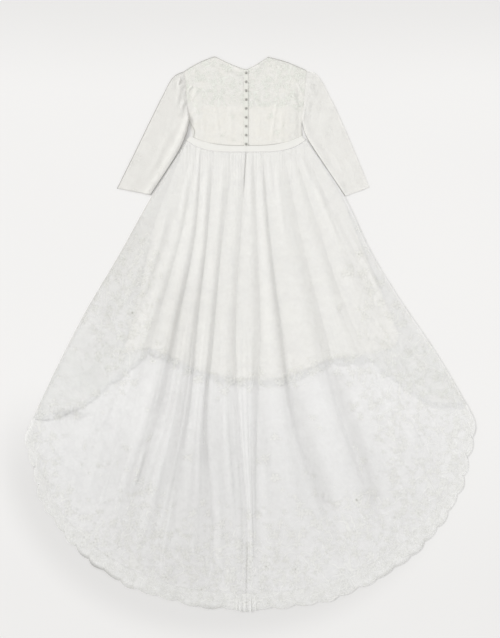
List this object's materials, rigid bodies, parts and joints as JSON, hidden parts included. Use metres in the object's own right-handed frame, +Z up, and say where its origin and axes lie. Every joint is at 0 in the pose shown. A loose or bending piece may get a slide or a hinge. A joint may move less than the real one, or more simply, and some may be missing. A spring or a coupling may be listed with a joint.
{
  "type": "lace dress",
  "caption": "Long-sleeved white lace wedding dress with a pleated skirt and a long train, laid flat back side up.",
  "frame": {"origin": "on the floor under the middle of the dress's box, as it lies", "axes": "+Z up from the floor, +Y towards the neck, +X towards the dress's right sleeve as seen from above"},
  "size_m": [1.7902, 2.2202, 0.0186],
  "materials": {
    "net": "sheer pleated net with embroidered floral lace, ivory white",
    "lace": "sheer floral lace, ivory white",
    "edging": "scalloped lace edging, ivory white",
    "crepe": "opaque ivory crepe with a soft low sheen",
    "band": "ivory satin band with a soft sheen",
    "button": "small domed covered buttons"
  },
  "bodies": {
    "root": {"back_skirt_left": "net", "back_skirt_right": "net", "front_skirt": "net", "lace_back_left": "lace", "lace_back_right": "lace", "lace_front": "lace", "sleeve_left": "lace", "sleeve_right": "lace", "train_lace_left": "edging", "train_lace_right": "edging", "front_hem_lace": "edging", "underbodice_back_left": "crepe", "underbodice_back_right": "crepe", "underbodice_front": "crepe", "underskirt_back": "crepe", "underskirt_front": "crepe", "button_stand": "crepe", "waistband_back_left": "band", "waistband_back_right": "band", "waistband_front": "band", "button_1": "button", "button_2": "button", "button_3": "button", "button_4": "button", "button_5": "button", "button_6": "button", "button_7": "button", "button_8": "button", "button_9": "button"}
  },
  "joints": []
}
